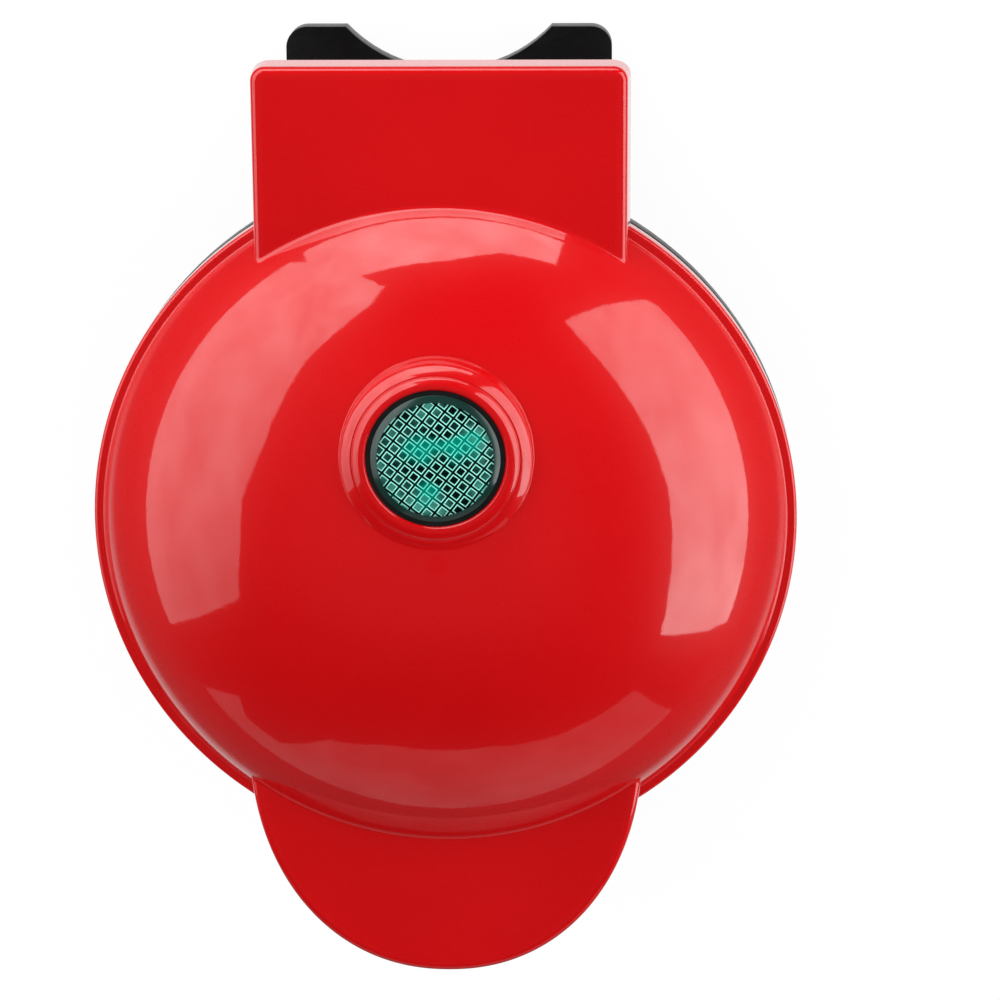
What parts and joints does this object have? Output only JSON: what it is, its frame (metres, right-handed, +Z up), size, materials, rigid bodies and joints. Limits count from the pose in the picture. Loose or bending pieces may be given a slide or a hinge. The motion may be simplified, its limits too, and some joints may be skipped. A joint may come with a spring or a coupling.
{
  "type": "waffle maker",
  "caption": "Compact round waffle maker: glossy domed lid with an indicator lens, front handle and rear hinge block, on a bowl-shaped base with rear legs; studded plates inside.",
  "frame": {"origin": "on the table, below the centre of the waffle plates", "axes": "+Z up, -Y towards the handle, +Y towards the hinge, +X to the right as seen from the handle"},
  "size_m": [0.127, 0.1701, 0.0715],
  "materials": {
    "red_shell": "high gloss",
    "black_shell": "satin gloss",
    "black_plastic": "fine matte",
    "non_stick": "cast, with a dark non-stick coating",
    "heater_steel": "heat-darkened tube",
    "zinc_steel": "zinc plated sheet",
    "shield_metal": "bright rolled sheet",
    "screw_steel": "zinc plated",
    "pin_steel": "ground",
    "green_lens": "clear green with a prismatic grid",
    "lamp_glass": "clear bulb",
    "pale_plastic": "plain moulded",
    "ceramic": "glazed ceramic",
    "wire_cover": "silicone cover",
    "woven_sleeve": "woven glass fibre",
    "foot_rubber": "plain",
    "seal_rubber": "soft matte"
  },
  "bodies": {
    "base": {"lower_housing": "black_shell", "lower_frame": "black_plastic", "lower_plate": "non_stick", "lower_heater": "heater_steel", "lower_heater_clamp": "zinc_steel", "lower_heat_shield": "shield_metal", "lower_frame_screws": "screw_steel", "lower_plate_screws": "screw_steel", "lower_shield_screws": "screw_steel", "base_cover": "black_plastic", "cover_screws": "screw_steel", "rubber_feet": "foot_rubber", "hinge_pins": "pin_steel", "thermal_fuse": "ceramic", "terminal_block": "pale_plastic", "cord_gland": "seal_rubber", "cord_clamp": "black_plastic", "clamp_screws": "screw_steel", "base_wiring": "wire_cover", "base_sleeve": "woven_sleeve"},
    "lid": {"upper_housing": "red_shell", "upper_frame": "black_plastic", "upper_plate": "non_stick", "upper_heater": "heater_steel", "upper_heater_clamp": "zinc_steel", "upper_heat_shield": "shield_metal", "upper_frame_screws": "screw_steel", "upper_plate_screws": "screw_steel", "upper_shield_screws": "screw_steel", "indicator_lens": "green_lens", "lens_seal": "seal_rubber", "lamp_holder": "pale_plastic", "lamp_screws": "screw_steel", "neon_lamp": "lamp_glass", "thermostat": "ceramic", "lid_wiring": "wire_cover", "lid_sleeve": "woven_sleeve"}
  },
  "joints": [
    {"name": "lid_hinge", "type": "hinge", "parent": "base", "child": "lid", "pos_m": [0, 0.0755, 0.0385], "axis": [-1, 0, 0], "range_deg": [0, 105]}
  ]
}
